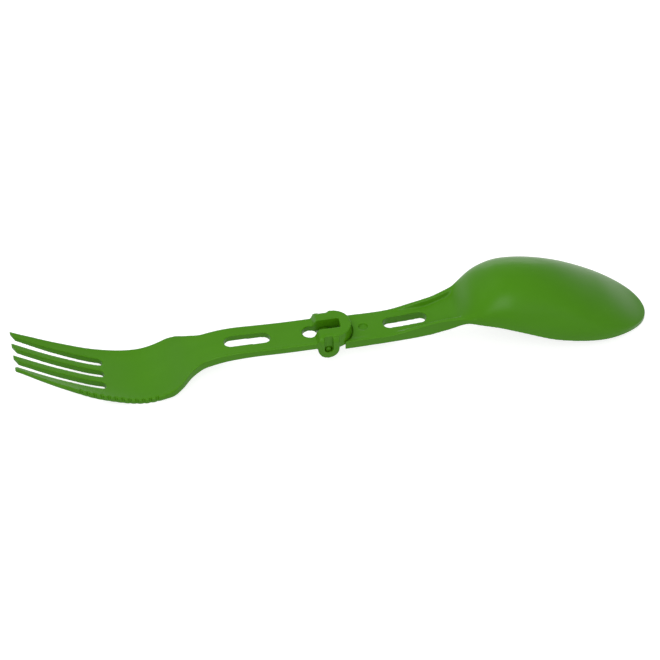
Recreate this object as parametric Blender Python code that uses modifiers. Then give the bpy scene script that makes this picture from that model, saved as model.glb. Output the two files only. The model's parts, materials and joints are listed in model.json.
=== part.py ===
"""Folding spork: a fork half and a spoon half that fold on one pin.

Metres, +Z up. The fork points to -X, with its hollow side up, and the spoon to +X,
with its hollow side down. The part lies on its fork belly and its spoon tip.
Shapes are written from the hinge axis: x along the handle and z above the axis.
"""
import math

import bmesh
import bpy
import numpy as np
from mathutils import Matrix, Vector

for old in list(bpy.data.objects):
    bpy.data.objects.remove(old)

# Handle
handle_half_width = 0.00715
handle_thickness = 0.0028
handle_dish = 0.0002
corner_cut = 0.0004
stand_flat = 0.0001

# Hinge
axis_drop = 0.0043
barrel_radius = 0.00415
barrel_rise = 0.00085
arm_outer = 0.00805
hub_rise = 0.00298
ramp_length = 0.0026
ramp_foot = 0.0052
arm_start = 0.0028
nose_radius = 0.0070
nose_centre = 0.00295
nose_start = 0.0022
nose_base_radius = 0.0075
nose_depth = 0.00315
shoulder_radius = 0.0028
shoulder_turn = 80.0
hub_root_depth = 0.0030
hub_root_inset = 0.0003
pin_radius = 0.0011
pin_proud = 0.0004
pin_edge = 0.0002
recess_floor = 0.0065
recess_radius = 0.0017
recess_rise = 0.0012
knuckle_radius = 0.0029
knuckle_half_width = 0.0049
tongue_half_width = 0.00215
top_slot_end = 0.0056
hole_centre = 0.00605
hole_radius = 0.00305
running_gap = 0.0003
nose_gap = 0.00035
cut_overrun = 0.0010

# Fork
fork_reach = 0.1203
belly_depth = 0.01103
tine_rise = 0.01111
fork_half_width = 0.0142
tine_tip_half_width = 0.0102
head_dish = 0.0008
edge_skirt = 0.00165
tine_slot_width = 0.0035
tine_slot_root = 0.0865
tine_pitch = 0.00625
tine_point_length = 0.0017
tine_point_flat = 0.0005
tooth_pitch = 0.0026
tooth_first = 0.0680
tooth_bite = 0.0004
tooth_radius = 0.0006
tooth_lean = math.radians(16)
fork_slot_start = 0.0217
fork_slot_end = 0.0397
fork_slot_width = 0.0055

# Spoon
spoon_reach = 0.1282
spoon_end = 0.0054
spoon_end_slant = 0.0012
spoon_top_drop = 0.00117
spoon_handle_thickness = 0.0039
bowl_half_width = 0.0187
bowl_widest = 0.0981
bowl_crest = 0.01876
rim_rise = 0.00596
rim_height = 0.0018
bowl_wall = 0.0012
panel_thickness = 0.0021
spoon_slot_start = 0.0227
spoon_slot_end = 0.0399
spoon_slot_width = 0.0056
mark_place = 0.0149
mark_radius = 0.0018
mark_depth = 0.0008
cavity_start = 0.0420
tongue_root = 0.0020
tongue_top = 0.0022
channel_edge_share = 0.84
channel_slope_share = 0.14

tooth_count = 12
tooth_sides = 10
round_sides = 32
arc_steps = 10
fork_stations = 42
fork_across = 14
spoon_stations = 44
spoon_across = 26
tip_stations = 12
tip_flat = 0.0006
slant_fade = 0.0030
handle_root = 0.0030
weld_distance = 0.00001
weld_inset = 0.0001

# The tables hold shares of the sizes above: first the place along the half, then the value.
# Fork's upper face: place, share of the belly's depth, share of the tines' rise.
fork_line_shares = ((0.0, 0.0, 0.0), (0.131, 0.0, 0.0), (0.232, 0.0, 0.036), (0.338, 0.0, 0.027),
                    (0.395, 0.089, 0.0), (0.444, 0.258, 0.0), (0.51, 0.71, 0.0), (0.591, 1.0, 0.0),
                    (0.647, 0.947, 0.0), (0.705, 0.768, 0.0), (0.768, 0.49, 0.0), (0.827, 0.154, 0.0),
                    (0.879, 0.0, 0.163), (0.932, 0.0, 0.52), (1.0, 0.0, 1.0))
fork_widening_shares = ((0.0, 0.0), (0.303, 0.02), (0.394, 0.045), (0.444, 0.36), (0.48, 0.793),
                        (0.51, 0.985), (0.535, 1.0), (0.591, 0.974), (0.707, 0.86), (0.828, 0.711),
                        (0.932, 0.549))
head_dish_shares = ((0.0, 0.0), (0.395, 0.0), (0.444, 0.09), (0.51, 0.25), (0.591, 0.375), (0.758, 0.6),
                    (0.96, 1.0), (1.0, 1.0))
thickness_shares = ((0.0, 1.0), (0.37, 1.0), (0.505, 0.85), (0.6, 0.786), (0.66, 0.86), (0.72, 1.02),
                    (0.77, 1.06), (0.86, 0.99), (1.0, 0.82))
edge_skirt_shares = ((0.0, 0.33), (0.202, 0.31), (0.303, 0.61), (0.374, 0.79), (0.444, 1.0), (0.51, 0.74),
                     (0.54, 0.3), (0.566, 0.2), (0.606, 0.18), (0.66, 0.05), (0.72, -0.22), (0.77, -0.27),
                     (0.86, -0.36), (1.0, -0.28))
# Spoon's edge: place, share of the rise, share of the drop to the tip.
rim_line_shares = ((0.0, 0.0, 0.0), (0.12, 0.007, 0.0), (0.18, 0.0, 0.0), (0.225, 0.105, 0.0),
                   (0.27, 0.306, 0.0), (0.317, 0.496, 0.0), (0.394, 0.815, 0.0), (0.47, 1.0, 0.0),
                   (0.562, 0.659, 0.0), (0.67, 0.0, 0.085), (0.776, 0.0, 0.383), (0.867, 0.0, 0.594),
                   (0.929, 0.0, 0.715), (0.975, 0.0, 0.878), (1.0, 0.0, 1.0))
under_rise_shares = ((0.0, 0.0), (0.12, 0.018), (0.18, 0.037), (0.225, 0.061), (0.27, 0.094),
                     (0.317, 0.173), (0.36, 0.375), (0.394, 0.636), (0.43, 0.951), (0.47, 1.0))
# Spoon's middle line: place, share of the crest, share of the drop to the tip.
crest_line_shares = ((0.0, 0.0, 0.0), (0.12, 0.0, 0.0), (0.18, 0.01, 0.0), (0.234, 0.023, 0.0),
                     (0.28, 0.044, 0.0), (0.32, 0.07, 0.0), (0.36, 0.142, 0.0), (0.4, 0.256, 0.0),
                     (0.437, 0.595, 0.0), (0.47, 0.797, 0.0), (0.515, 0.955, 0.0), (0.56, 1.0, 0.0),
                     (0.616, 0.98, 0.0), (0.67, 0.89, 0.0), (0.72, 0.753, 0.0), (0.776, 0.542, 0.0),
                     (0.82, 0.357, 0.0), (0.867, 0.151, 0.0), (0.929, 0.0, 0.345), (0.975, 0.0, 0.803),
                     (1.0, 0.0, 1.0))
neck_width_shares = ((0.0, 0.0), (0.25, 0.0), (0.317, 0.006), (0.394, 0.165), (0.43, 0.377), (0.47, 0.603),
                     (0.51, 0.732), (0.56, 0.846), (0.63, 0.913), (0.69, 0.965), (0.765, 1.0))

plastic_green = (0.076, 0.250, 0.019, 1.0)
plastic_roughness = 0.42


def smooth_curve(knots):
    """A natural cubic spline through the knots, as a function."""
    xs, ys = (np.array(column, dtype=float) for column in zip(*knots))
    steps = np.diff(xs)
    slopes = np.diff(ys) / steps
    matrix = np.eye(len(xs))
    right = np.zeros(len(xs))
    for i in range(1, len(xs) - 1):
        matrix[i, i - 1:i + 2] = steps[i - 1], 2 * (steps[i - 1] + steps[i]), steps[i]
        right[i] = 6 * (slopes[i] - slopes[i - 1])
    bends = np.linalg.solve(matrix, right)

    def value(x):
        i = int(np.clip(np.searchsorted(xs, x) - 1, 0, len(steps) - 1))
        before, after, step = x - xs[i], xs[i + 1] - x, steps[i]
        curved = (bends[i] * after ** 3 + bends[i + 1] * before ** 3) / (6 * step)
        left = (ys[i] / step - bends[i] * step / 6) * after
        right_part = (ys[i + 1] / step - bends[i + 1] * step / 6) * before
        return float(curved + left + right_part)
    return value


def even_curve(knots):
    """A cubic through the knots that never swings past them, as a function."""
    xs, ys = (np.array(column, dtype=float) for column in zip(*knots))
    slopes = np.diff(ys) / np.diff(xs)
    tangents = np.zeros(len(xs))
    for i in range(1, len(xs) - 1):
        if slopes[i - 1] * slopes[i] > 0:
            tangents[i] = 2 / (1 / slopes[i - 1] + 1 / slopes[i])

    def value(x):
        i = int(np.clip(np.searchsorted(xs, x) - 1, 0, len(slopes) - 1))
        step = xs[i + 1] - xs[i]
        t = min(max((x - xs[i]) / step, 0.0), 1.0)
        start = (1 + 2 * t) * (1 - t) ** 2 * ys[i] + t * (1 - t) ** 2 * step * tangents[i]
        finish = t * t * (3 - 2 * t) * ys[i + 1] + t * t * (t - 1) * step * tangents[i + 1]
        return float(start + finish)
    return value


def scaled(shares, reach, size):
    """A table of shares as real places and values."""
    return [(place * reach, share * size) for place, share in shares]


def scaled_line(shares, reach, up, down):
    """A line's table as real places and heights, from its share up and its share down."""
    return [(place * reach, rise * up - drop * down) for place, rise, drop in shares]


def stations(start, end, count):
    return [start + (end - start) * i / count for i in range(count + 1)]


fork_line = smooth_curve([(place * fork_reach, rise * tine_rise - dip * belly_depth)
                          for place, dip, rise in fork_line_shares])
fork_widening = even_curve(scaled(fork_widening_shares, fork_reach, fork_half_width - handle_half_width)
                           + [(fork_reach, tine_tip_half_width - handle_half_width)])
fork_dish = even_curve(scaled(head_dish_shares, fork_reach, head_dish))
# Thickness on the middle line, and how much thicker the edges are.
fork_thickness = even_curve(scaled(thickness_shares, fork_reach, handle_thickness))
skirt = even_curve(scaled(edge_skirt_shares, fork_reach, edge_skirt))


def fork_top(d):
    """Height of the fork's upper face on its middle line, at the distance d from the axis."""
    return axis_drop + fork_line(d)


def fork_width(d):
    return handle_half_width + fork_widening(d)


fork_places = stations(handle_root, fork_reach, fork_stations)
belly_bottom = min(fork_top(d) - fork_thickness(d) for d in fork_places)
ground = belly_bottom + stand_flat
spoon_top = axis_drop - spoon_top_drop
spoon_underside = spoon_top - spoon_handle_thickness
tip_drop = spoon_top - rim_height - belly_bottom
rim_peak = max(place for place, rise, drop in rim_line_shares if rise == 1.0) * spoon_reach

rim_line = smooth_curve(scaled_line(rim_line_shares, spoon_reach, rim_rise + spoon_top_drop, tip_drop))
crest_line = smooth_curve(scaled_line(crest_line_shares, spoon_reach, bowl_crest + spoon_top_drop, tip_drop))
under_rise = even_curve(scaled(under_rise_shares, spoon_reach,
                               rim_rise + spoon_top_drop + spoon_handle_thickness - rim_height))
neck_widening = even_curve(scaled(neck_width_shares, spoon_reach, bowl_half_width - handle_half_width))


def rim(d):
    """Height of the spoon's edge at the distance d from the axis."""
    return spoon_top + rim_line(d)


def crest(d):
    """Height of the spoon's upper face on its middle line."""
    return spoon_top + crest_line(d)


def rim_bottom(d):
    if d < rim_peak:
        return spoon_underside + under_rise(d)
    return rim(d) - rim_height


def spoon_width(d, wall=0.0):
    """Half of the spoon's width, or of its hollow's width where a wall is given."""
    if d <= bowl_widest:
        return handle_half_width + neck_widening(d) - wall
    share = (d - bowl_widest) / (spoon_reach - wall - bowl_widest)
    return (bowl_half_width - wall) * math.sqrt(max(1 - share * share, 0.0))


def channel(q):
    """Share of the panel's depth between the raised edges of the spoon's handle."""
    t = min(max((channel_edge_share - abs(q)) / channel_slope_share, 0.0), 1.0)
    return t * t * (3 - 2 * t)


def round_stations(count):
    """Places along the spoon, closer together towards its round tip."""
    body = stations(spoon_end, bowl_widest, count - tip_stations)
    turns = stations(0.0, math.pi / 2, tip_stations)
    return body + [bowl_widest + (spoon_reach - bowl_widest) * math.sin(turn) for turn in turns[1:]]


def collection(name):
    made = bpy.data.collections.new(name)
    bpy.context.scene.collection.children.link(made)
    return made


def mesh_object(name, mesh, home):
    made = bpy.data.objects.new(name, mesh)
    home.objects.link(made)
    return made


def loft(name, rings, home):
    """A closed solid through rings of equally many points, with flat ends."""
    shape = bmesh.new()
    rows = [[shape.verts.new(point) for point in ring] for ring in rings]
    for row, following in zip(rows, rows[1:]):
        for i in range(len(row)):
            j = (i + 1) % len(row)
            shape.faces.new((row[i], row[j], following[j], following[i]))
    shape.faces.new(rows[0])
    shape.faces.new(reversed(rows[-1]))
    bmesh.ops.recalc_face_normals(shape, faces=shape.faces)
    mesh = bpy.data.meshes.new(name)
    shape.to_mesh(mesh)
    shape.free()
    return mesh_object(name, mesh, home)


def prism(name, outline, low, high, turn, home):
    """A flat outline, a 2D curve, raised from low to high and turned by a matrix."""
    curve = bpy.data.curves.new(name, "CURVE")
    curve.dimensions = "2D"
    curve.fill_mode = "BOTH"
    curve.extrude = (high - low) / 2
    spline = curve.splines.new("POLY")
    spline.points.add(len(outline) - 1)
    for point, (a, b) in zip(spline.points, outline):
        point.co = (a, b, 0.0, 1.0)
    spline.use_cyclic_u = True
    drawn = mesh_object(name + "_outline", curve, home)
    bpy.context.view_layer.update()
    depsgraph = bpy.context.evaluated_depsgraph_get()
    mesh = bpy.data.meshes.new_from_object(drawn.evaluated_get(depsgraph))
    shape = bmesh.new()
    shape.from_mesh(mesh)
    bmesh.ops.remove_doubles(shape, verts=shape.verts, dist=weld_distance)
    bmesh.ops.translate(shape, verts=shape.verts, vec=(0.0, 0.0, (high + low) / 2))
    bmesh.ops.transform(shape, verts=shape.verts, matrix=turn)
    bmesh.ops.recalc_face_normals(shape, faces=shape.faces)
    shape.to_mesh(mesh)
    shape.free()
    bpy.data.objects.remove(drawn)
    return mesh_object(name, mesh, home)


def rod(name, radius, length, middle, axis, home, sides=None, end_radius=None):
    """A cylinder about its middle, along Y or Z; a second radius makes it a cone's stump."""
    turns = {"Y": Matrix.Rotation(math.pi / 2, 4, "X"), "Z": Matrix.Identity(4)}
    place = Matrix.Translation(middle) @ turns[axis]
    shape = bmesh.new()
    bmesh.ops.create_cone(shape, cap_ends=True, segments=sides or round_sides, radius1=radius,
                          radius2=end_radius or radius, depth=length, matrix=place)
    mesh = bpy.data.meshes.new(name)
    shape.to_mesh(mesh)
    shape.free()
    return mesh_object(name, mesh, home)


def block(name, low, high, home):
    """A box between two opposite corners."""
    low, high = Vector(low), Vector(high)
    shape = bmesh.new()
    size = high - low
    place = Matrix.Translation((low + high) / 2) @ Matrix.Diagonal((*size, 1.0))
    bmesh.ops.create_cube(shape, size=1.0, matrix=place)
    mesh = bpy.data.meshes.new(name)
    shape.to_mesh(mesh)
    shape.free()
    return mesh_object(name, mesh, home)


def boolean(target, tool, operation):
    step = target.modifiers.new(tool.name, "BOOLEAN")
    step.object = tool
    step.operation = operation
    step.solver = "EXACT"
    tool.hide_render = True
    tool.display_type = "WIRE"


def plastic(name):
    material = bpy.data.materials.new(name)
    material.use_nodes = True
    shader = material.node_tree.nodes["Principled BSDF"]
    shader.inputs["Base Color"].default_value = plastic_green
    shader.inputs["Roughness"].default_value = plastic_roughness
    shader.inputs["Metallic"].default_value = 0.0
    material.diffuse_color = plastic_green
    return material


def arc(centre, radius, start, end, count=None):
    """Points on a circle, from one angle to another, in degrees."""
    count = count or arc_steps
    angles = [math.radians(start + (end - start) * i / count) for i in range(count + 1)]
    return [(centre[0] + radius * math.cos(a), centre[1] + radius * math.sin(a)) for a in angles]


def obround(start, end, half_width):
    """A slot's outline along X, with round ends."""
    return (arc((end - half_width, 0.0), half_width, -90, 90)
            + arc((start + half_width, 0.0), half_width, 90, 270))


def fork_ring(d):
    """The fork's section at the distance d: a dished strip with cut corners and a skirt at each edge."""
    width, top, thick = fork_width(d), fork_top(d), fork_thickness(d)
    dish = handle_dish + fork_dish(d)
    edge, foot = top + dish, top + dish - thick - skirt(d)
    corner = min(corner_cut, thick / 4)
    inner = width - corner
    across = stations(-inner, inner, fork_across)
    upper = [(y, top + dish * (y / width) ** 4) for y in across]
    lower = [(y, top - thick + (dish - skirt(d)) * (y / width) ** 4) for y in reversed(across)]
    right = [(width, edge - corner), (width, foot + corner)]
    left = [(-width, foot + corner), (-width, edge - corner)]
    return [(-d, y, z) for y, z in upper + right + lower + left]


def spoon_ring(d):
    """The spoon's section at the distance d: a crown or a channel over a flat underside."""
    width, edge, middle, low = spoon_width(d), rim(d), crest(d), rim_bottom(d)
    width = max(width, tip_flat)
    slant = spoon_end_slant * max(0.0, 1 - (d - spoon_end) / slant_fade)
    ring = []
    for turn in stations(0.0, math.pi, spoon_across):
        q = math.cos(turn)
        rise = (middle - edge) * (math.sin(turn) if middle > edge else channel(q))
        ring.append((d, width * q, edge + rise))
    return ring + [(d + slant, -width, low), (d + slant, width, low)]


def hollow_ring(d):
    """The section of the space inside the spoon's bowl and neck."""
    width = max(spoon_width(d, bowl_wall), tip_flat)
    edge, middle = rim(d), crest(d)
    ring = []
    for turn in stations(0.0, math.pi, spoon_across):
        rise = max(middle - edge, 0.0) * math.sin(turn)
        ring.append((d, width * math.cos(turn), min(edge, middle) + rise - panel_thickness))
    floor = belly_bottom - cut_overrun
    return ring + [(d, -width, floor), (d, width, floor)]


def side_prism(name, outline, half_width, home):
    """An outline in X and Z, as wide as twice the half width."""
    return prism(name, outline, -half_width, half_width, Matrix.Rotation(math.pi / 2, 4, "X"), home)


def hub_side():
    """The hub seen from the side: root, ramp, plate and barrel."""
    plate = axis_drop + hub_rise
    buried = axis_drop - hub_root_inset
    ramp = [(-ramp_foot + ramp_length * share, buried + (plate - buried) * share * share * (3 - 2 * share))
            for share in stations(0.0, 1.0, arc_steps)]
    barrel = arc((0.0, barrel_rise), barrel_radius, 0, -180, 2 * arc_steps)
    inside = axis_drop - handle_thickness + hub_root_inset
    left = -ramp_foot - hub_root_depth - cut_overrun
    return ([(left, inside), (left, buried)] + ramp + [(barrel_radius, plate)] + barrel
            + [(-barrel_radius, inside)])


def hub_plan():
    """The hub seen from above: its root and the two arms."""
    root = handle_half_width - hub_root_inset
    left, foot = -ramp_foot - hub_root_depth, -ramp_foot
    beyond, right = arm_outer + cut_overrun, barrel_radius + cut_overrun
    flare = (ramp_foot - arm_start) / (arm_outer - root)
    turn = -arm_start + flare * cut_overrun
    return [(left, -root), (foot, -root), (turn, -beyond), (right, -beyond),
            (right, beyond), (turn, beyond), (foot, root), (left, root)]


def hub_front():
    """The hub seen along the handle: a flat top with round shoulders."""
    plate = axis_drop + hub_rise
    bottom = barrel_rise - barrel_radius - 2 * cut_overrun
    flat = arm_outer - shoulder_radius
    right = arc((flat, plate - shoulder_radius), shoulder_radius, 0, shoulder_turn)
    left = arc((-flat, plate - shoulder_radius), shoulder_radius, 180 - shoulder_turn, 180)
    top = plate + cut_overrun
    return (right + [(right[-1][0], top), (left[0][0], top)] + left
            + [(-arm_outer, bottom), (arm_outer, bottom)])


def make_nose():
    """The round nose, a little wider at its foot, behind its straight start."""
    plate, foot = axis_drop + hub_rise, axis_drop - nose_depth
    middle = (nose_centre, 0.0, (plate + foot) / 2)
    nose = rod("hub_nose", nose_base_radius, plate - foot, middle, "Z", cutters, 2 * round_sides, nose_radius)
    far = nose_base_radius + cut_overrun
    behind = block("nose_back", (nose_centre - far, -far, foot - cut_overrun),
                   (nose_start, far, plate + cut_overrun), cutters)
    boolean(nose, behind, "DIFFERENCE")
    return nose


def add_hub(fork):
    hub = side_prism("hub_side", hub_side(), arm_outer + 2 * cut_overrun, cutters)
    plate = axis_drop + hub_rise
    bottom = barrel_rise - barrel_radius - cut_overrun
    plan = prism("hub_plan", hub_plan(), bottom, plate + cut_overrun, Matrix.Identity(4), cutters)
    front_turn = Matrix(((0, 0, 1, 0), (1, 0, 0, 0), (0, 1, 0, 0), (0, 0, 0, 1)))
    end = barrel_radius + 2 * cut_overrun
    start = -ramp_foot - hub_root_depth - 2 * cut_overrun
    front = prism("hub_front", hub_front(), start, end, front_turn, cutters)
    boolean(hub, plan, "INTERSECT")
    boolean(hub, front, "INTERSECT")
    boolean(fork, hub, "UNION")
    boolean(fork, make_nose(), "UNION")


def cut_hub(fork):
    """The tongue's slot, the knuckle's room, the hole, the side recesses and the pin's bore."""
    slot = tongue_half_width + running_gap
    high = axis_drop + hub_rise + cut_overrun
    low = barrel_rise - barrel_radius - cut_overrun
    tongue_slot = block("tongue_slot", (-hole_centre, -slot, low), (top_slot_end, slot, high), cutters)
    boolean(fork, tongue_slot, "DIFFERENCE")
    room, reach = knuckle_half_width + running_gap, barrel_radius + cut_overrun
    under = axis_drop - handle_thickness
    boolean(fork, block("arm_gap", (-reach, -room, low), (reach, room, under), cutters), "DIFFERENCE")
    knuckle_room = rod("knuckle_room", knuckle_radius + running_gap, 2 * room, (0.0, 0.0, 0.0), "Y", cutters)
    boolean(fork, knuckle_room, "DIFFERENCE")
    start, end = top_slot_end - cut_overrun, nose_centre + nose_base_radius + cut_overrun
    roof = tongue_top + running_gap
    boolean(fork, block("tongue_passage", (start, -slot, low), (end, slot, roof), cutters), "DIFFERENCE")
    hole = rod("handle_hole", hole_radius, high - low, (-hole_centre, 0.0, (high + low) / 2), "Z", cutters)
    boolean(fork, hole, "DIFFERENCE")
    depth = arm_outer + cut_overrun - recess_floor
    outline = (arc((0.0, recess_rise), recess_radius, 180, 360)
               + [(recess_radius, high), (-recess_radius, high)])
    for side, word in ((-1, "near"), (1, "far")):
        recess = side_prism("recess_" + word, outline, depth / 2, cutters)
        recess.location.y = side * (recess_floor + depth / 2)
        boolean(fork, recess, "DIFFERENCE")
    length = 2 * (recess_floor + pin_proud + running_gap)
    bore = rod("fork_bore", pin_radius + running_gap, length, (0.0, 0.0, 0.0), "Y", cutters)
    boolean(fork, bore, "DIFFERENCE")


def cut_tines(fork):
    """The three gaps between the tines, and the slanted points of three tines."""
    half = tine_slot_width / 2
    low, high = belly_bottom - cut_overrun, axis_drop + tine_rise + head_dish + cut_overrun
    end = -fork_reach - cut_overrun
    for place in (-1, 0, 1):
        middle = place * tine_pitch
        outline = ([(end, middle - half)] + arc((-tine_slot_root - half, middle), half, -90, 90)
                   + [(end, middle + half)])
        gap = prism("tine_gap_%d" % (place + 2), outline, low, high, Matrix.Identity(4), cutters)
        boolean(fork, gap, "DIFFERENCE")
        far = middle + tine_pitch - half if place < 1 else tine_tip_half_width
        point = prism("tine_point_%d" % (place + 2), point_outline(middle + half, far), low, high,
                      Matrix.Identity(4), cutters)
        boolean(fork, point, "DIFFERENCE")


def point_outline(near, far):
    """The corner cut off a tine's end: from its near side to a small flat at its far side."""
    end = -fork_reach - cut_overrun
    start = near - tine_slot_width / 4
    slope = tine_point_length / (far - near)
    return [(end, start), (-fork_reach + slope * (far - start), start),
            (-fork_reach, far - tine_point_flat), (end, far - tine_point_flat)]


def cut_teeth(fork):
    """A row of small scallops along the fork's near edge, deeper towards its underside."""
    shape = bmesh.new()
    for i in range(tooth_count):
        d = tooth_first + i * tooth_pitch
        thick = fork_thickness(d) + skirt(d)
        height = fork_top(d) + handle_dish + fork_dish(d) - thick
        middle = (-d, -fork_width(d) - tooth_radius + tooth_bite, height)
        place = Matrix.Translation(middle) @ Matrix.Rotation(-tooth_lean, 4, "X")
        bmesh.ops.create_cone(shape, cap_ends=True, segments=tooth_sides, radius1=tooth_radius,
                              radius2=tooth_radius, depth=4 * thick, matrix=place)
    mesh = bpy.data.meshes.new("teeth")
    shape.to_mesh(mesh)
    shape.free()
    boolean(fork, mesh_object("teeth", mesh, cutters), "DIFFERENCE")


def cut_slot(part, name, start, end, width, side):
    """A slot with round ends through a handle, on the given side of the axis."""
    low, high = spoon_underside - cut_overrun, axis_drop + rim_rise + cut_overrun
    outline = [(side * x, y) for x, y in obround(start, end, width / 2)]
    boolean(part, prism(name, outline, low, high, Matrix.Identity(4), cutters), "DIFFERENCE")


def cut_stand(part):
    """The small flat that the fork's belly or the spoon's tip stands on."""
    low = (-fork_reach - cut_overrun, -bowl_half_width, belly_bottom - cut_overrun)
    high = (spoon_reach + cut_overrun, bowl_half_width, ground)
    boolean(part, block(part.name + "_stand", low, high, cutters), "DIFFERENCE")


def make_fork():
    fork = loft("fork_half", [fork_ring(d) for d in fork_places], parts)
    add_hub(fork)
    cut_hub(fork)
    cut_slot(fork, "fork_slot", fork_slot_start, fork_slot_end, fork_slot_width, -1)
    cut_tines(fork)
    cut_teeth(fork)
    cut_stand(fork)
    fork.data.materials.append(plastic("fork_plastic"))
    return fork


def make_spoon():
    spoon = loft("spoon_half", [spoon_ring(d) for d in round_stations(spoon_stations)], parts)
    cavity_end = spoon_reach - bowl_wall
    between = [d for d in round_stations(spoon_stations) if cavity_start < d < cavity_end]
    hollow = loft("bowl_hollow", [hollow_ring(d) for d in [cavity_start] + between + [cavity_end]], cutters)
    boolean(spoon, hollow, "DIFFERENCE")
    seat = rod("nose_seat", nose_base_radius + nose_gap, 2 * nose_radius, (nose_centre, 0.0, 0.0), "Z",
               cutters, 2 * round_sides)
    boolean(spoon, seat, "DIFFERENCE")
    cut_slot(spoon, "spoon_slot", spoon_slot_start, spoon_slot_end, spoon_slot_width, 1)
    mark = rod("press_mark", mark_radius, 2 * mark_depth, (mark_place, 0.0, crest(mark_place)), "Z", cutters)
    boolean(spoon, mark, "DIFFERENCE")
    end = nose_centre + nose_base_radius + tongue_root
    tongue = block("tongue", (0.0, -tongue_half_width, spoon_underside + weld_inset),
                   (end, tongue_half_width, tongue_top), cutters)
    boolean(spoon, tongue, "UNION")
    knuckle = rod("knuckle", knuckle_radius, 2 * knuckle_half_width, (0.0, 0.0, 0.0), "Y", cutters)
    boolean(spoon, knuckle, "UNION")
    bore = rod("knuckle_bore", pin_radius + running_gap, 2 * arm_outer, (0.0, 0.0, 0.0), "Y", cutters)
    boolean(spoon, bore, "DIFFERENCE")
    cut_stand(spoon)
    spoon.data.materials.append(plastic("spoon_plastic"))
    return spoon


def make_pin():
    pin = rod("hinge_pin", pin_radius, 2 * (recess_floor + pin_proud), (0.0, 0.0, 0.0), "Y", parts)
    edge = pin.modifiers.new("edge", "BEVEL")
    edge.width = pin_edge
    edge.segments = 2
    edge.limit_method = "ANGLE"
    pin.data.materials.append(plastic("pin_plastic"))
    return pin


parts = collection("folding_spork")
cutters = collection("cutters")
hinge_axis = bpy.data.objects.new("hinge_axis", None)
parts.objects.link(hinge_axis)
hinge_axis.location = ((fork_reach - spoon_reach) / 2, 0.0, -ground)
for piece in (make_fork(), make_spoon(), make_pin()):
    piece.parent = hinge_axis
for cutter in cutters.objects:
    cutter.parent = hinge_axis
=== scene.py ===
"""The looks of the folding spork: two moulded plastic halves and the pin that they fold on.

Metres, +Z up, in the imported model's frame. Each half is drawn from the hinge axis with the
part's own sizes, but finely, and its edges are then rounded as a mould leaves them.
"""
import json
import math

import bmesh
import bpy
import numpy as np
from mathutils import Matrix, Vector

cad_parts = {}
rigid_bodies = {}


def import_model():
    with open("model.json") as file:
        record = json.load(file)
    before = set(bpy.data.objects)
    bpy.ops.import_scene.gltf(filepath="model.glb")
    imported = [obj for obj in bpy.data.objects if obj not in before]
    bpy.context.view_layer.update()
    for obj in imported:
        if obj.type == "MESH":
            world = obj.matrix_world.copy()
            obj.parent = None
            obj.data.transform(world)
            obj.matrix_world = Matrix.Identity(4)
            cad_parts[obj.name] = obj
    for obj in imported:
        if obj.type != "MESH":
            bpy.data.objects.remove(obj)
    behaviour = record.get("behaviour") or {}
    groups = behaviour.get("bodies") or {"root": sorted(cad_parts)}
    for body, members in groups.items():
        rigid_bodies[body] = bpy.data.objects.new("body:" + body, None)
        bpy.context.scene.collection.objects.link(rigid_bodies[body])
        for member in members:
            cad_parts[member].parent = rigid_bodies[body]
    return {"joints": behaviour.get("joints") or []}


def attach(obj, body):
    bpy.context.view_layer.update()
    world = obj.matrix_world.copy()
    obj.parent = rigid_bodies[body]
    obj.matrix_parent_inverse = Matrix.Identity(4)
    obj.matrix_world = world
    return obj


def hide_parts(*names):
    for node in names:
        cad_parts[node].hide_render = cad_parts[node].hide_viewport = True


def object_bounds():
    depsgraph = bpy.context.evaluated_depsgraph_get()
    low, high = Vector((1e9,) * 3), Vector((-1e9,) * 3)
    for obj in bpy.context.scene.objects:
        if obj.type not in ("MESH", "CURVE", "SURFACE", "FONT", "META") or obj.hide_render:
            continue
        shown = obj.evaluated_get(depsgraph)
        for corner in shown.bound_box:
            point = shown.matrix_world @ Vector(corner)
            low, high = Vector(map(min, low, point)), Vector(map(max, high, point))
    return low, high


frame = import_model()
cad_low, cad_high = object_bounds()
hinge_place = Vector(frame["joints"][0]["pos_m"])

# Handle
handle_half_width = 0.00715
handle_thickness = 0.0028
handle_dish = 0.0002
corner_cut = 0.0004
stand_flat = 0.0001

# Hinge
axis_drop = 0.0043
barrel_radius = 0.00415
barrel_rise = 0.00085
arm_outer = 0.00805
hub_rise = 0.00298
ramp_length = 0.0026
ramp_foot = 0.0052
arm_start = 0.0028
nose_radius = 0.0070
nose_centre = 0.00295
nose_start = 0.0022
nose_base_radius = 0.0075
nose_depth = 0.00315
shoulder_radius = 0.0028
shoulder_turn = 80.0
hub_root_depth = 0.0030
hub_root_inset = 0.0003
pin_radius = 0.0011
pin_proud = 0.0004
pin_edge = 0.0002
recess_floor = 0.0065
recess_radius = 0.0017
recess_rise = 0.0012
knuckle_radius = 0.0029
knuckle_half_width = 0.0049
tongue_half_width = 0.00215
top_slot_end = 0.0056
hole_centre = 0.00605
hole_radius = 0.00305
running_gap = 0.0003
nose_gap = 0.00035
cut_overrun = 0.0010

# Fork
fork_reach = 0.1203
belly_depth = 0.01103
tine_rise = 0.01111
fork_half_width = 0.0142
tine_tip_half_width = 0.0102
head_dish = 0.0008
edge_skirt = 0.00165
tine_slot_width = 0.0035
tine_slot_root = 0.0865
tine_pitch = 0.00625
tine_point_length = 0.0017
tine_point_flat = 0.0005
tooth_pitch = 0.0026
tooth_first = 0.0680
tooth_bite = 0.0004
tooth_radius = 0.0006
tooth_lean = math.radians(16)
fork_slot_start = 0.0217
fork_slot_end = 0.0397
fork_slot_width = 0.0055

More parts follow.
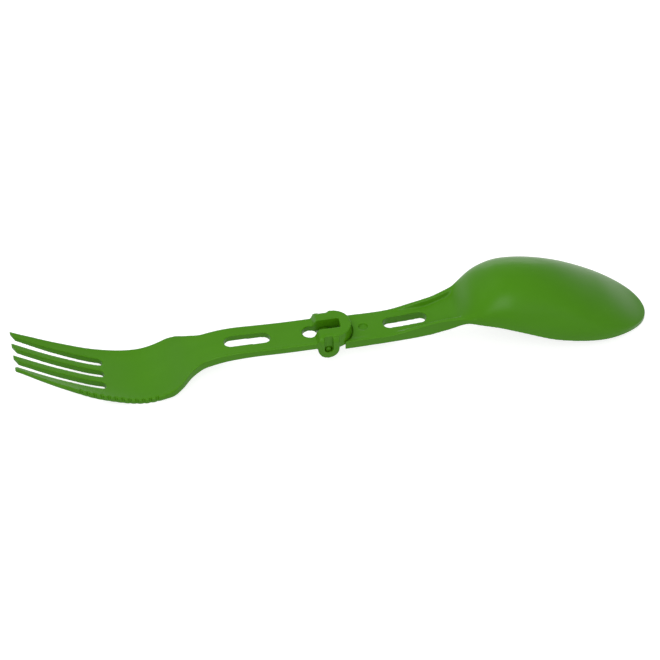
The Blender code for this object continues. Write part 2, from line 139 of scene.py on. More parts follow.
# Spoon
spoon_reach = 0.1282
spoon_end = 0.0054
spoon_end_slant = 0.0012
spoon_top_drop = 0.00117
spoon_handle_thickness = 0.0039
bowl_half_width = 0.0187
bowl_widest = 0.0981
bowl_crest = 0.01876
rim_rise = 0.00596
rim_height = 0.0018
bowl_wall = 0.0012
panel_thickness = 0.0021
spoon_slot_start = 0.0227
spoon_slot_end = 0.0399
spoon_slot_width = 0.0056
mark_place = 0.0149
mark_radius = 0.0018
mark_depth = 0.0008
cavity_start = 0.0420
tongue_root = 0.0020
tongue_top = 0.0022
channel_edge_share = 0.84
channel_slope_share = 0.14

# Fine surface
fork_voxel = 0.00025
spoon_voxel = 0.00020
edge_rounds = 5
smoothing_factor = 0.5

# Finish
plastic_dark = (0.057, 0.217, 0.003, 1.0)
plastic_light = (0.067, 0.242, 0.005, 1.0)
plastic_edge = (0.090, 0.300, 0.020, 1.0)
plastic_shine = 0.15
roughness_range = (0.30, 0.37)
streak_scale = (40.0, 160.0, 160.0)
grain_depth = 0.00001
grain_strength = 0.35
edge_start = 0.52
edge_end = 0.60
edge_share = 0.35
white = (1.0, 1.0, 1.0, 1.0)
# Noise patterns: scale, detail, roughness.
flow_noise = (1.0, 3.0, 0.55)
grain_noise = (3000.0, 4.0, 0.6)
smudge_noise = (120.0, 2.0, 0.5)
# Each piece's own place in the streaks.
fork_streaks = (0.0, 0.0, 0.0)
spoon_streaks = (0.4, 0.2, 0.0)
pin_streaks = (0.1, 0.7, 0.0)
# A colour mix's sockets by number, because several of them share a name.
mix_share = 0
mix_first = 6
mix_second = 7
mix_result = 2

# Studio
floor_half_size = 3.0
floor_colour = (0.55, 0.55, 0.55, 1.0)
floor_roughness = 0.9
floor_lift = 0.75
sky_level = 0.30
lamp_distance = 1.0
# Lamps: name, direction from the object's middle, width, height, power, seen in reflections.
lamps = (("key", (-0.14, -0.67, 0.75), 0.6, 0.6, 4.2, True),
         ("top", (-0.45, 0.30, 0.84), 0.8, 0.8, 4.7, False),
         ("back", (0.17, 0.97, 0.14), 0.8, 0.2, 1.0, True),
         ("fill", (0.45, -0.80, 0.30), 0.5, 0.5, 1.5, False))

# Camera
view_turn = 10.793
view_tilt = 45.5544
view_roll = -0.0237
view_distance = 1.05393
view_middle = (-0.002134, -0.000144, 0.012648)
focal_length = 148.7
sensor_width = 36.0
clip_near = 0.01
clip_far = 20.0

# Counts
tooth_count = 12
tooth_sides = 24
round_sides = 96
arc_steps = 24
pin_edge_steps = 2
fork_stations = 180
fork_across = 40
spoon_stations = 190
spoon_across = 72
tip_stations = 50

# Shares and small distances
dish_power = 4
corner_limit_share = 0.25
point_overlap_share = 0.25
tooth_cutter_share = 4
tip_flat = 0.0006
slant_fade = 0.0030
handle_root = 0.0030
weld_distance = 0.00001
weld_inset = 0.0001

# The tables hold shares of the sizes above: first the place along the half, then the value.
# Fork's upper face: place, share of the belly's depth, share of the tines' rise.
fork_line_shares = ((0.0, 0.0, 0.0), (0.131, 0.0, 0.0), (0.232, 0.0, 0.036), (0.338, 0.0, 0.027),
                    (0.395, 0.089, 0.0), (0.444, 0.258, 0.0), (0.51, 0.71, 0.0), (0.591, 1.0, 0.0),
                    (0.647, 0.947, 0.0), (0.705, 0.768, 0.0), (0.768, 0.49, 0.0), (0.827, 0.154, 0.0),
                    (0.879, 0.0, 0.163), (0.932, 0.0, 0.52), (1.0, 0.0, 1.0))
fork_widening_shares = ((0.0, 0.0), (0.303, 0.02), (0.394, 0.045), (0.444, 0.36), (0.48, 0.793),
                        (0.51, 0.985), (0.535, 1.0), (0.591, 0.974), (0.707, 0.86), (0.828, 0.711),
                        (0.932, 0.549))
head_dish_shares = ((0.0, 0.0), (0.395, 0.0), (0.444, 0.09), (0.51, 0.25), (0.591, 0.375), (0.758, 0.6),
                    (0.96, 1.0), (1.0, 1.0))
thickness_shares = ((0.0, 1.0), (0.37, 1.0), (0.505, 0.85), (0.6, 0.786), (0.66, 0.86), (0.72, 1.02),
                    (0.77, 1.06), (0.86, 0.99), (1.0, 0.82))
edge_skirt_shares = ((0.0, 0.33), (0.202, 0.31), (0.303, 0.61), (0.374, 0.79), (0.444, 1.0), (0.51, 0.74),
                     (0.54, 0.3), (0.566, 0.2), (0.606, 0.18), (0.66, 0.05), (0.72, -0.22), (0.77, -0.27),
                     (0.86, -0.36), (1.0, -0.28))
# Spoon's edge: place, share of the rise, share of the drop to the tip.
rim_line_shares = ((0.0, 0.0, 0.0), (0.12, 0.007, 0.0), (0.18, 0.0, 0.0), (0.225, 0.105, 0.0),
                   (0.27, 0.306, 0.0), (0.317, 0.496, 0.0), (0.394, 0.815, 0.0), (0.47, 1.0, 0.0),
                   (0.562, 0.659, 0.0), (0.67, 0.0, 0.085), (0.776, 0.0, 0.383), (0.867, 0.0, 0.594),
                   (0.929, 0.0, 0.715), (0.975, 0.0, 0.878), (1.0, 0.0, 1.0))
under_rise_shares = ((0.0, 0.0), (0.12, 0.018), (0.18, 0.037), (0.225, 0.061), (0.27, 0.094),
                     (0.317, 0.173), (0.36, 0.375), (0.394, 0.636), (0.43, 0.951), (0.47, 1.0))
# Spoon's middle line: place, share of the crest, share of the drop to the tip.
crest_line_shares = ((0.0, 0.0, 0.0), (0.12, 0.0, 0.0), (0.18, 0.01, 0.0), (0.234, 0.023, 0.0),
                     (0.28, 0.044, 0.0), (0.32, 0.07, 0.0), (0.36, 0.142, 0.0), (0.4, 0.256, 0.0),
                     (0.437, 0.595, 0.0), (0.47, 0.797, 0.0), (0.515, 0.955, 0.0), (0.56, 1.0, 0.0),
                     (0.616, 0.98, 0.0), (0.67, 0.89, 0.0), (0.72, 0.753, 0.0), (0.776, 0.542, 0.0),
                     (0.82, 0.357, 0.0), (0.867, 0.151, 0.0), (0.929, 0.0, 0.345), (0.975, 0.0, 0.803),
                     (1.0, 0.0, 1.0))
neck_width_shares = ((0.0, 0.0), (0.25, 0.0), (0.317, 0.006), (0.394, 0.165), (0.43, 0.377), (0.47, 0.603),
                     (0.51, 0.732), (0.56, 0.846), (0.63, 0.913), (0.69, 0.965), (0.765, 1.0))


def smooth_curve(knots):
    """A natural cubic spline through the knots, as a function."""
    xs, ys = (np.array(column, dtype=float) for column in zip(*knots))
    steps = np.diff(xs)
    slopes = np.diff(ys) / steps
    matrix = np.eye(len(xs))
    right = np.zeros(len(xs))
    for i in range(1, len(xs) - 1):
        matrix[i, i - 1:i + 2] = steps[i - 1], 2 * (steps[i - 1] + steps[i]), steps[i]
        right[i] = 6 * (slopes[i] - slopes[i - 1])
    bends = np.linalg.solve(matrix, right)

    def value(x):
        i = int(np.clip(np.searchsorted(xs, x) - 1, 0, len(steps) - 1))
        before, after, step = x - xs[i], xs[i + 1] - x, steps[i]
        curved = (bends[i] * after ** 3 + bends[i + 1] * before ** 3) / (6 * step)
        left = (ys[i] / step - bends[i] * step / 6) * after
        right_part = (ys[i + 1] / step - bends[i + 1] * step / 6) * before
        return float(curved + left + right_part)
    return value


def even_curve(knots):
    """A cubic through the knots that never swings past them, as a function."""
    xs, ys = (np.array(column, dtype=float) for column in zip(*knots))
    slopes = np.diff(ys) / np.diff(xs)
    tangents = np.zeros(len(xs))
    for i in range(1, len(xs) - 1):
        if slopes[i - 1] * slopes[i] > 0:
            tangents[i] = 2 / (1 / slopes[i - 1] + 1 / slopes[i])

    def value(x):
        i = int(np.clip(np.searchsorted(xs, x) - 1, 0, len(slopes) - 1))
        step = xs[i + 1] - xs[i]
        t = min(max((x - xs[i]) / step, 0.0), 1.0)
        start = (1 + 2 * t) * (1 - t) ** 2 * ys[i] + t * (1 - t) ** 2 * step * tangents[i]
        finish = t * t * (3 - 2 * t) * ys[i + 1] + t * t * (t - 1) * step * tangents[i + 1]
        return float(start + finish)
    return value


def scaled(shares, reach, size):
    """A table of shares as real places and values."""
    return [(place * reach, share * size) for place, share in shares]


def scaled_line(shares, reach, up, down):
    """A line's table as real places and heights, from its share up and its share down."""
    return [(place * reach, rise * up - drop * down) for place, rise, drop in shares]


def stations(start, end, count):
    return [start + (end - start) * i / count for i in range(count + 1)]


fork_line = smooth_curve([(place * fork_reach, rise * tine_rise - dip * belly_depth)
                          for place, dip, rise in fork_line_shares])
fork_widening = even_curve(scaled(fork_widening_shares, fork_reach, fork_half_width - handle_half_width)
                           + [(fork_reach, tine_tip_half_width - handle_half_width)])
fork_dish = even_curve(scaled(head_dish_shares, fork_reach, head_dish))
# Thickness on the middle line, and how much thicker the edges are.
fork_thickness = even_curve(scaled(thickness_shares, fork_reach, handle_thickness))
skirt = even_curve(scaled(edge_skirt_shares, fork_reach, edge_skirt))


def fork_top(d):
    """Height of the fork's upper face on its middle line, at the distance d from the axis."""
    return axis_drop + fork_line(d)


def fork_width(d):
    return handle_half_width + fork_widening(d)


fork_places = stations(handle_root, fork_reach, fork_stations)
belly_bottom = min(fork_top(d) - fork_thickness(d) for d in fork_places)
ground = belly_bottom + stand_flat
spoon_top = axis_drop - spoon_top_drop
spoon_underside = spoon_top - spoon_handle_thickness
tip_drop = spoon_top - rim_height - belly_bottom
rim_peak = max(place for place, rise, drop in rim_line_shares if rise == 1.0) * spoon_reach

rim_line = smooth_curve(scaled_line(rim_line_shares, spoon_reach, rim_rise + spoon_top_drop, tip_drop))
crest_line = smooth_curve(scaled_line(crest_line_shares, spoon_reach, bowl_crest + spoon_top_drop, tip_drop))
under_rise = even_curve(scaled(under_rise_shares, spoon_reach,
                               rim_rise + spoon_top_drop + spoon_handle_thickness - rim_height))
neck_widening = even_curve(scaled(neck_width_shares, spoon_reach, bowl_half_width - handle_half_width))


def rim(d):
    """Height of the spoon's edge at the distance d from the axis."""
    return spoon_top + rim_line(d)


def crest(d):
    """Height of the spoon's upper face on its middle line."""
    return spoon_top + crest_line(d)


def rim_bottom(d):
    if d < rim_peak:
        return spoon_underside + under_rise(d)
    return rim(d) - rim_height


def spoon_width(d, wall=0.0):
    """Half of the spoon's width, or of its hollow's width where a wall is given."""
    if d <= bowl_widest:
        return handle_half_width + neck_widening(d) - wall
    share = (d - bowl_widest) / (spoon_reach - wall - bowl_widest)
    return (bowl_half_width - wall) * math.sqrt(max(1 - share * share, 0.0))


def channel(q):
    """Share of the panel's depth between the raised edges of the spoon's handle."""
    t = min(max((channel_edge_share - abs(q)) / channel_slope_share, 0.0), 1.0)
    return t * t * (3 - 2 * t)


def round_stations(count):
    """Places along the spoon, closer together towards its round tip."""
    body = stations(spoon_end, bowl_widest, count - tip_stations)
    turns = stations(0.0, math.pi / 2, tip_stations)
    return body + [bowl_widest + (spoon_reach - bowl_widest) * math.sin(turn) for turn in turns[1:]]


def mesh_object(name, mesh, home):
    made = bpy.data.objects.new(name, mesh)
    home.objects.link(made)
    return made


def shaped_object(name, shape, home):
    """An object from a finished shape, which is freed."""
    mesh = bpy.data.meshes.new(name)
    shape.to_mesh(mesh)
    shape.free()
    return mesh_object(name, mesh, home)


def loft(name, rings, home):
    """A closed solid through rings of equally many points, with flat ends."""
    shape = bmesh.new()
    rows = [[shape.verts.new(point) for point in ring] for ring in rings]
    for row, following in zip(rows, rows[1:]):
        for i in range(len(row)):
            j = (i + 1) % len(row)
            shape.faces.new((row[i], row[j], following[j], following[i]))
    shape.faces.new(rows[0])
    shape.faces.new(reversed(rows[-1]))
    bmesh.ops.recalc_face_normals(shape, faces=shape.faces)
    return shaped_object(name, shape, home)


def prism(name, outline, low, high, turn, home):
    """A flat outline, a 2D curve, raised from low to high and turned by a matrix."""
    curve = bpy.data.curves.new(name, "CURVE")
    curve.dimensions = "2D"
    curve.fill_mode = "BOTH"
    curve.extrude = (high - low) / 2
    spline = curve.splines.new("POLY")
    spline.points.add(len(outline) - 1)
    for point, (a, b) in zip(spline.points, outline):
        point.co = (a, b, 0.0, 1.0)
    spline.use_cyclic_u = True
    drawn = mesh_object(name + "_outline", curve, home)
    bpy.context.view_layer.update()
    depsgraph = bpy.context.evaluated_depsgraph_get()
    mesh = bpy.data.meshes.new_from_object(drawn.evaluated_get(depsgraph))
    shape = bmesh.new()
    shape.from_mesh(mesh)
    bmesh.ops.remove_doubles(shape, verts=shape.verts, dist=weld_distance)
    bmesh.ops.translate(shape, verts=shape.verts, vec=(0.0, 0.0, (high + low) / 2))
    bmesh.ops.transform(shape, verts=shape.verts, matrix=turn)
    bmesh.ops.recalc_face_normals(shape, faces=shape.faces)
    shape.to_mesh(mesh)
    shape.free()
    bpy.data.objects.remove(drawn)
    return mesh_object(name, mesh, home)


def rod(name, radius, length, middle, axis, home, sides=None, end_radius=None):
    """A cylinder about its middle, along Y or Z; a second radius makes it a cone's stump."""
    turns = {"Y": Matrix.Rotation(math.pi / 2, 4, "X"), "Z": Matrix.Identity(4)}
    place = Matrix.Translation(middle) @ turns[axis]
    shape = bmesh.new()
    bmesh.ops.create_cone(shape, cap_ends=True, segments=sides or round_sides, radius1=radius,
                          radius2=end_radius or radius, depth=length, matrix=place)
    return shaped_object(name, shape, home)


def block(name, low, high, home):
    """A box between two opposite corners."""
    low, high = Vector(low), Vector(high)
    shape = bmesh.new()
    size = high - low
    place = Matrix.Translation((low + high) / 2) @ Matrix.Diagonal((*size, 1.0))
    bmesh.ops.create_cube(shape, size=1.0, matrix=place)
    return shaped_object(name, shape, home)


def boolean(target, tool, operation):
    step = target.modifiers.new(tool.name, "BOOLEAN")
    step.object = tool
    step.operation = operation
    step.solver = "EXACT"


def arc(centre, radius, start, end, count=None):
    """Points on a circle, from one angle to another, in degrees."""
    count = count or arc_steps
    angles = [math.radians(start + (end - start) * i / count) for i in range(count + 1)]
    return [(centre[0] + radius * math.cos(a), centre[1] + radius * math.sin(a)) for a in angles]


def obround(start, end, half_width):
    """A slot's outline along X, with round ends."""
    return (arc((end - half_width, 0.0), half_width, -90, 90)
            + arc((start + half_width, 0.0), half_width, 90, 270))


def fork_ring(d):
    """The fork's section at the distance d: a dished strip with cut corners and a skirt at each edge."""
    width, top, thick = fork_width(d), fork_top(d), fork_thickness(d)
    dish = handle_dish + fork_dish(d)
    edge, foot = top + dish, top + dish - thick - skirt(d)
    corner = min(corner_cut, thick * corner_limit_share)
    inner = width - corner
    across = stations(-inner, inner, fork_across)
    upper = [(y, top + dish * (y / width) ** dish_power) for y in across]
    lower = [(y, top - thick + (dish - skirt(d)) * (y / width) ** dish_power) for y in reversed(across)]
    right = [(width, edge - corner), (width, foot + corner)]
    left = [(-width, foot + corner), (-width, edge - corner)]
    return [(-d, y, z) for y, z in upper + right + lower + left]


def spoon_ring(d):
    """The spoon's section at the distance d: a crown or a channel over a flat underside."""
    width, edge, middle, low = spoon_width(d), rim(d), crest(d), rim_bottom(d)
    width = max(width, tip_flat)
    slant = spoon_end_slant * max(0.0, 1 - (d - spoon_end) / slant_fade)
    ring = []
    for turn in stations(0.0, math.pi, spoon_across):
        q = math.cos(turn)
        rise = (middle - edge) * (math.sin(turn) if middle > edge else channel(q))
        ring.append((d, width * q, edge + rise))
    return ring + [(d + slant, -width, low), (d + slant, width, low)]


def hollow_ring(d):
    """The section of the space inside the spoon's bowl and neck."""
    width = max(spoon_width(d, bowl_wall), tip_flat)
    edge, middle = rim(d), crest(d)
    ring = []
    for turn in stations(0.0, math.pi, spoon_across):
        rise = max(middle - edge, 0.0) * math.sin(turn)
        ring.append((d, width * math.cos(turn), min(edge, middle) + rise - panel_thickness))
    floor = belly_bottom - cut_overrun
    return ring + [(d, -width, floor), (d, width, floor)]


def side_prism(name, outline, half_width, home):
    """An outline in X and Z, as wide as twice the half width."""
    return prism(name, outline, -half_width, half_width, Matrix.Rotation(math.pi / 2, 4, "X"), home)


def hub_side():
    """The hub seen from the side: root, ramp, plate and barrel."""
    plate = axis_drop + hub_rise
    buried = axis_drop - hub_root_inset
    ramp = [(-ramp_foot + ramp_length * share, buried + (plate - buried) * share * share * (3 - 2 * share))
            for share in stations(0.0, 1.0, arc_steps)]
    barrel = arc((0.0, barrel_rise), barrel_radius, 0, -180, 2 * arc_steps)
    inside = axis_drop - handle_thickness + hub_root_inset
    left = -ramp_foot - hub_root_depth - cut_overrun
    return ([(left, inside), (left, buried)] + ramp + [(barrel_radius, plate)] + barrel
            + [(-barrel_radius, inside)])


def hub_plan():
    """The hub seen from above: its root and the two arms."""
    root = handle_half_width - hub_root_inset
    left, foot = -ramp_foot - hub_root_depth, -ramp_foot
    beyond, right = arm_outer + cut_overrun, barrel_radius + cut_overrun
    flare = (ramp_foot - arm_start) / (arm_outer - root)
    turn = -arm_start + flare * cut_overrun
    return [(left, -root), (foot, -root), (turn, -beyond), (right, -beyond),
            (right, beyond), (turn, beyond), (foot, root), (left, root)]


def hub_front():
    """The hub seen along the handle: a flat top with round shoulders."""
    plate = axis_drop + hub_rise
    bottom = barrel_rise - barrel_radius - 2 * cut_overrun
    flat = arm_outer - shoulder_radius
    right = arc((flat, plate - shoulder_radius), shoulder_radius, 0, shoulder_turn)
    left = arc((-flat, plate - shoulder_radius), shoulder_radius, 180 - shoulder_turn, 180)
    top = plate + cut_overrun
    return (right + [(right[-1][0], top), (left[0][0], top)] + left
            + [(-arm_outer, bottom), (arm_outer, bottom)])


def make_nose():
    """The round nose, a little wider at its foot, behind its straight start."""
    plate, foot = axis_drop + hub_rise, axis_drop - nose_depth
    middle = (nose_centre, 0.0, (plate + foot) / 2)
    nose = rod("hub_nose", nose_base_radius, plate - foot, middle, "Z", cutters, 2 * round_sides, nose_radius)
    far = nose_base_radius + cut_overrun
    behind = block("nose_back", (nose_centre - far, -far, foot - cut_overrun),
                   (nose_start, far, plate + cut_overrun), cutters)
    boolean(nose, behind, "DIFFERENCE")
    return nose


def add_hub(fork):
    hub = side_prism("hub_side", hub_side(), arm_outer + 2 * cut_overrun, cutters)
    plate = axis_drop + hub_rise
    bottom = barrel_rise - barrel_radius - cut_overrun
    plan = prism("hub_plan", hub_plan(), bottom, plate + cut_overrun, Matrix.Identity(4), cutters)
    # Lays the outline's own X and Y along Y and Z, and its height along X.
    front_turn = Matrix(((0, 0, 1, 0), (1, 0, 0, 0), (0, 1, 0, 0), (0, 0, 0, 1)))
    end = barrel_radius + 2 * cut_overrun
    start = -ramp_foot - hub_root_depth - 2 * cut_overrun
    front = prism("hub_front", hub_front(), start, end, front_turn, cutters)
    boolean(hub, plan, "INTERSECT")
    boolean(hub, front, "INTERSECT")
    boolean(fork, hub, "UNION")
    boolean(fork, make_nose(), "UNION")


def cut_hub(fork):
    """The tongue's slot, the knuckle's room, the hole, the side recesses and the pin's bore."""
    slot = tongue_half_width + running_gap
    high = axis_drop + hub_rise + cut_overrun
    low = barrel_rise - barrel_radius - cut_overrun
    tongue_slot = block("tongue_slot", (-hole_centre, -slot, low), (top_slot_end, slot, high), cutters)
    boolean(fork, tongue_slot, "DIFFERENCE")
    room, reach = knuckle_half_width + running_gap, barrel_radius + cut_overrun
    under = axis_drop - handle_thickness
    boolean(fork, block("arm_gap", (-reach, -room, low), (reach, room, under), cutters), "DIFFERENCE")
    knuckle_room = rod("knuckle_room", knuckle_radius + running_gap, 2 * room, (0.0, 0.0, 0.0), "Y", cutters)
    boolean(fork, knuckle_room, "DIFFERENCE")
    start, end = top_slot_end - cut_overrun, nose_centre + nose_base_radius + cut_overrun
    roof = tongue_top + running_gap
    boolean(fork, block("tongue_passage", (start, -slot, low), (end, slot, roof), cutters), "DIFFERENCE")
    hole = rod("handle_hole", hole_radius, high - low, (-hole_centre, 0.0, (high + low) / 2), "Z", cutters)
    boolean(fork, hole, "DIFFERENCE")
    depth = arm_outer + cut_overrun - recess_floor
    outline = (arc((0.0, recess_rise), recess_radius, 180, 360)
               + [(recess_radius, high), (-recess_radius, high)])
    for side, word in ((-1, "near"), (1, "far")):
        recess = side_prism("recess_" + word, outline, depth / 2, cutters)
        recess.location.y = side * (recess_floor + depth / 2)
        boolean(fork, recess, "DIFFERENCE")
    length = 2 * (recess_floor + pin_proud + running_gap)
    bore = rod("fork_bore", pin_radius + running_gap, length, (0.0, 0.0, 0.0), "Y", cutters)
    boolean(fork, bore, "DIFFERENCE")


def cut_tines(fork):
    """The three gaps between the tines, and the slanted points of three tines."""
    half = tine_slot_width / 2
    low, high = belly_bottom - cut_overrun, axis_drop + tine_rise + head_dish + cut_overrun
    end = -fork_reach - cut_overrun
    for place in (-1, 0, 1):
        middle = place * tine_pitch
        outline = ([(end, middle - half)] + arc((-tine_slot_root - half, middle), half, -90, 90)
                   + [(end, middle + half)])
        gap = prism("tine_gap_%d" % (place + 2), outline, low, high, Matrix.Identity(4), cutters)
        boolean(fork, gap, "DIFFERENCE")
        far = middle + tine_pitch - half if place < 1 else tine_tip_half_width
        point = prism("tine_point_%d" % (place + 2), point_outline(middle + half, far), low, high,
                      Matrix.Identity(4), cutters)
        boolean(fork, point, "DIFFERENCE")


def round_near_tine(fork):
    """The near tine has no slanted point, so its end is rounded."""
    radius = (tine_tip_half_width - tine_pitch - tine_slot_width / 2) / 2
    middle = -tine_tip_half_width + radius
    end = -fork_reach - cut_overrun
    outline = ([(end, middle + radius)] + arc((-fork_reach + radius, middle), radius, 90, 270)
               + [(end, middle - radius - cut_overrun), (end, middle)])
    low, high = belly_bottom - cut_overrun, axis_drop + tine_rise + head_dish + cut_overrun
    tool = prism("near_tine_end", outline, low, high, Matrix.Identity(4), cutters)
    boolean(fork, tool, "DIFFERENCE")


def point_outline(near, far):
    """The corner cut off a tine's end: from its near side to a small flat at its far side."""
    end = -fork_reach - cut_overrun
    start = near - tine_slot_width * point_overlap_share
    slope = tine_point_length / (far - near)
    return [(end, start), (-fork_reach + slope * (far - start), start),
            (-fork_reach, far - tine_point_flat), (end, far - tine_point_flat)]


def cut_teeth(fork):
    """A row of small scallops along the fork's near edge, deeper towards its underside."""
    shape = bmesh.new()
    for i in range(tooth_count):
        d = tooth_first + i * tooth_pitch
        thick = fork_thickness(d) + skirt(d)
        height = fork_top(d) + handle_dish + fork_dish(d) - thick
        middle = (-d, -fork_width(d) - tooth_radius + tooth_bite, height)
        place = Matrix.Translation(middle) @ Matrix.Rotation(-tooth_lean, 4, "X")
        bmesh.ops.create_cone(shape, cap_ends=True, segments=tooth_sides, radius1=tooth_radius,
                              radius2=tooth_radius, depth=tooth_cutter_share * thick, matrix=place)
    boolean(fork, shaped_object("teeth", shape, cutters), "DIFFERENCE")


def cut_slot(part, name, start, end, width, side):
    """A slot with round ends through a handle, on the given side of the axis."""
    low, high = spoon_underside - cut_overrun, axis_drop + rim_rise + cut_overrun
    outline = [(side * x, y) for x, y in obround(start, end, width / 2)]
    boolean(part, prism(name, outline, low, high, Matrix.Identity(4), cutters), "DIFFERENCE")


def cut_stand(part):
    """The small flat that the fork's belly or the spoon's tip stands on."""
    low = (-fork_reach - cut_overrun, -bowl_half_width, belly_bottom - cut_overrun)
    high = (spoon_reach + cut_overrun, bowl_half_width, ground)
    boolean(part, block(part.name + "_stand", low, high, cutters), "DIFFERENCE")


def make_fork():
    fork = loft("fork_moulding", [fork_ring(d) for d in fork_places], pieces)
    add_hub(fork)
    cut_hub(fork)
    cut_slot(fork, "fork_slot", fork_slot_start, fork_slot_end, fork_slot_width, -1)
    cut_tines(fork)
    round_near_tine(fork)
    cut_teeth(fork)
    cut_stand(fork)
    return fork


def make_spoon():
    spoon = loft("spoon_moulding", [spoon_ring(d) for d in round_stations(spoon_stations)], pieces)
    cavity_end = spoon_reach - bowl_wall
    between = [d for d in round_stations(spoon_stations) if cavity_start < d < cavity_end]
    hollow = loft("bowl_hollow", [hollow_ring(d) for d in [cavity_start] + between + [cavity_end]], cutters)
    boolean(spoon, hollow, "DIFFERENCE")
    seat = rod("nose_seat", nose_base_radius + nose_gap, 2 * nose_radius, (nose_centre, 0.0, 0.0), "Z",
               cutters, 2 * round_sides)
    boolean(spoon, seat, "DIFFERENCE")
    cut_slot(spoon, "spoon_slot", spoon_slot_start, spoon_slot_end, spoon_slot_width, 1)
    mark = rod("press_mark", mark_radius, 2 * mark_depth, (mark_place, 0.0, crest(mark_place)), "Z", cutters)
    boolean(spoon, mark, "DIFFERENCE")
    end = nose_centre + nose_base_radius + tongue_root
    tongue = block("tongue", (0.0, -tongue_half_width, spoon_underside + weld_inset),
                   (end, tongue_half_width, tongue_top), cutters)
    boolean(spoon, tongue, "UNION")
    knuckle = rod("knuckle", knuckle_radius, 2 * knuckle_half_width, (0.0, 0.0, 0.0), "Y", cutters)
    boolean(spoon, knuckle, "UNION")
    bore = rod("knuckle_bore", pin_radius + running_gap, 2 * arm_outer, (0.0, 0.0, 0.0), "Y", cutters)
    boolean(spoon, bore, "DIFFERENCE")
    cut_stand(spoon)
    return spoon


def make_pin():
    pin = rod("pin_moulding", pin_radius, 2 * (recess_floor + pin_proud), (0.0, 0.0, 0.0), "Y", pieces)
    edge = pin.modifiers.new("edge", "BEVEL")
    edge.width = pin_edge
    edge.segments = pin_edge_steps
    edge.limit_method = "ANGLE"
    return pin


def settled(thing):
    """Apply an object's modifiers to its mesh."""
    bpy.context.view_layer.update()
    depsgraph = bpy.context.evaluated_depsgraph_get()
    mesh = bpy.data.meshes.new_from_object(thing.evaluated_get(depsgraph))
    thing.modifiers.clear()
    thing.data = mesh


def soften(thing, voxel):
    """Rebuild the surface from even small faces and round its edges."""
    skin = thing.modifiers.new("skin", "REMESH")
    skin.mode = "VOXEL"
    skin.voxel_size = voxel
    skin.use_smooth_shade = True
    settled(thing)
    rounding = thing.modifiers.new("rounding", "SMOOTH")
    rounding.factor = smoothing_factor
    rounding.iterations = edge_rounds
    settled(thing)


def node(tree, kind, **values):
    """A shader node with its sockets set by name; names with _ stand for names with spaces."""
    made = tree.nodes.new(kind)
    for name, value in values.items():
        socket = name.replace("_", " ")
        if socket in made.inputs:
            made.inputs[socket].default_value = value
        else:
            setattr(made, name, value)
    return made


def spread(tree, source, low, high):
    """A value from 0 to 1 spread between two limits."""
    made = node(tree, "ShaderNodeMapRange", To_Min=low, To_Max=high)
    tree.links.new(source, made.inputs["Value"])
    return made.outputs["Result"]


def noise(tree, coordinates, pattern):
    """The values of a noise pattern at the coordinates."""
    scale, detail, roughness = pattern
    made = node(tree, "ShaderNodeTexNoise", Scale=scale, Detail=detail, Roughness=roughness)
    tree.links.new(coordinates, made.inputs["Vector"])
    return made.outputs["Fac"]


def moulded_plastic(name, place):
    """Satin green plastic: faint flow streaks, a fine mould grain and paler edges."""
    material = bpy.data.materials.new(name)
    material.use_nodes = True
    tree = material.node_tree
    shader = tree.nodes["Principled BSDF"]
    join = tree.links.new
    coordinates = node(tree, "ShaderNodeTexCoord").outputs["Object"]
    streaks = node(tree, "ShaderNodeMapping", Location=place, Scale=streak_scale)
    join(coordinates, streaks.inputs["Vector"])
    flow = noise(tree, streaks.outputs["Vector"], flow_noise)
    grain = noise(tree, coordinates, grain_noise)
    smudges = noise(tree, coordinates, smudge_noise)
    tint = node(tree, "ShaderNodeMix", data_type="RGBA")
    tint.inputs[mix_first].default_value = plastic_dark
    tint.inputs[mix_second].default_value = plastic_light
    join(flow, tint.inputs[mix_share])
    # Convex edges, found by Pointiness, are mixed a little towards a paler green.
    edges = node(tree, "ShaderNodeNewGeometry").outputs["Pointiness"]
    edge_paling = node(tree, "ShaderNodeMapRange", From_Min=edge_start, From_Max=edge_end, To_Max=edge_share)
    join(edges, edge_paling.inputs["Value"])
    pale = node(tree, "ShaderNodeMix", data_type="RGBA")
    pale.inputs[mix_second].default_value = plastic_edge
    join(edge_paling.outputs["Result"], pale.inputs[mix_share])
    join(tint.outputs[mix_result], pale.inputs[mix_first])
    join(pale.outputs[mix_result], shader.inputs["Base Color"])
    join(spread(tree, smudges, *roughness_range), shader.inputs["Roughness"])
    shader.inputs["Specular IOR Level"].default_value = plastic_shine
    bump = node(tree, "ShaderNodeBump", Strength=grain_strength, Distance=grain_depth)
    join(grain, bump.inputs["Height"])
    join(bump.outputs["Normal"], shader.inputs["Normal"])
    return material


def finished(piece, name, body, cad_node, place):
    """Give a piece its finish, put it on the hinge, and let it ride on its body."""
    for polygon in piece.data.polygons:
        polygon.use_smooth = True
    piece.data.materials.clear()
    piece.data.materials.append(moulded_plastic(name + "_finish", place))
    piece.data.transform(Matrix.Translation(hinge_place))
    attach(piece, body)
    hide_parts(cad_node)


def flat_sheet(name, half_size, height):
    """A square sheet, for the floor."""
    shape = bmesh.new()
    corners = [(-1, -1), (1, -1), (1, 1), (-1, 1)]
    shape.faces.new([shape.verts.new((half_size * a, half_size * b, height)) for a, b in corners])
    return shaped_object(name, shape, bpy.context.scene.collection)


def seen_background(tree):
    """1 where the camera, a reflection or a see-through ray meets the background, else 0."""
    path = node(tree, "ShaderNodeLightPath")
    seen = path.outputs["Is Camera Ray"]
    for ray in ("Is Glossy Ray", "Is Transmission Ray"):
        either = node(tree, "ShaderNodeMath", operation="MAXIMUM")
        tree.links.new(seen, either.inputs[0])
        tree.links.new(path.outputs[ray], either.inputs[1])
        seen = either.outputs[0]
    return seen


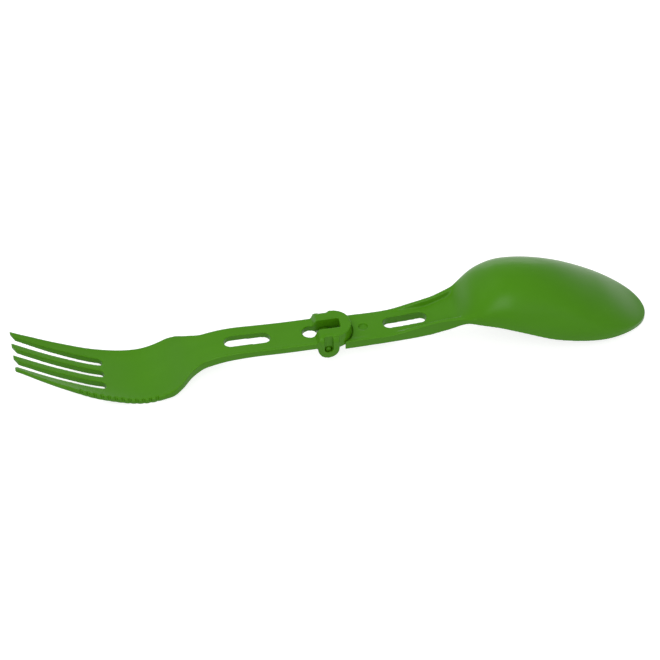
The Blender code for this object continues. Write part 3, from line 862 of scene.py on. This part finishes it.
def pale_floor():
    """A plain floor that shows as white where no shadow falls."""
    floor = flat_sheet("floor", floor_half_size, 0.0)
    material = bpy.data.materials.new("floor_paint")
    material.use_nodes = True
    tree = material.node_tree
    shader = tree.nodes["Principled BSDF"]
    shader.inputs["Base Color"].default_value = floor_colour
    shader.inputs["Roughness"].default_value = floor_roughness
    shader.inputs["Specular IOR Level"].default_value = 0.0
    lift = node(tree, "ShaderNodeMath", operation="MULTIPLY")
    lift.inputs[1].default_value = floor_lift
    tree.links.new(seen_background(tree), lift.inputs[0])
    shader.inputs["Emission Color"].default_value = white
    tree.links.new(lift.outputs[0], shader.inputs["Emission Strength"])
    floor.data.materials.append(material)


def sky():
    """Even studio light, and white where the camera or a reflection sees past the floor."""
    world = bpy.data.worlds.new("studio")
    world.use_nodes = True
    tree = world.node_tree
    background = tree.nodes["Background"]
    background.inputs["Color"].default_value = white
    level = node(tree, "ShaderNodeMapRange", To_Min=sky_level, To_Max=1.0)
    tree.links.new(seen_background(tree), level.inputs["Value"])
    tree.links.new(level.outputs["Result"], background.inputs["Strength"])
    bpy.context.scene.world = world


def area_light(name, direction, width, height, power, reflected):
    """A lamp that looks at the middle of the object from a direction."""
    lamp = bpy.data.lights.new(name, "AREA")
    lamp.shape = "RECTANGLE"
    lamp.size, lamp.size_y = width, height
    lamp.energy = power
    made = bpy.data.objects.new(name, lamp)
    bpy.context.scene.collection.objects.link(made)
    away = Vector(direction).normalized()
    made.location = (cad_low + cad_high) / 2 + away * lamp_distance
    made.rotation_mode = "QUATERNION"
    made.rotation_quaternion = away.to_track_quat("Z", "Y")
    made.visible_glossy = reflected


def photo_camera():
    """A camera at the photograph's angle and distance."""
    turn, tilt, roll = math.radians(view_turn), math.radians(view_tilt), math.radians(view_roll)
    right = Vector((math.cos(turn), -math.sin(turn), 0.0))
    forward = Vector((math.cos(tilt) * math.sin(turn), math.cos(tilt) * math.cos(turn), -math.sin(tilt)))
    up = right.cross(forward)
    lens = bpy.data.cameras.new("photo_camera")
    lens.sensor_width = sensor_width
    lens.lens = focal_length
    lens.clip_start = clip_near
    lens.clip_end = clip_far
    camera = bpy.data.objects.new("photo_camera", lens)
    bpy.context.scene.collection.objects.link(camera)
    facing = Matrix((right, up, -forward)).transposed()
    camera.rotation_mode = "QUATERNION"
    camera.rotation_quaternion = (facing @ Matrix.Rotation(roll, 3, "Z")).to_quaternion()
    camera.location = Vector(view_middle) - forward * view_distance
    bpy.context.scene.camera = camera


scene = bpy.context.scene
scene.view_settings.view_transform = "Standard"
pieces = scene.collection
cutters = bpy.data.collections.new("cutters")
scene.collection.children.link(cutters)

fork, spoon, pin = make_fork(), make_spoon(), make_pin()
for piece in (fork, spoon, pin):
    settled(piece)
for cutter in list(cutters.objects):
    bpy.data.objects.remove(cutter)
bpy.data.collections.remove(cutters)
soften(fork, fork_voxel)
soften(spoon, spoon_voxel)
finished(fork, "fork", "fork_side", "fork_half", fork_streaks)
finished(spoon, "spoon", "spoon_side", "spoon_half", spoon_streaks)
finished(pin, "pin", "fork_side", "hinge_pin", pin_streaks)

pale_floor()
sky()
for lamp in lamps:
    area_light(*lamp)
photo_camera()
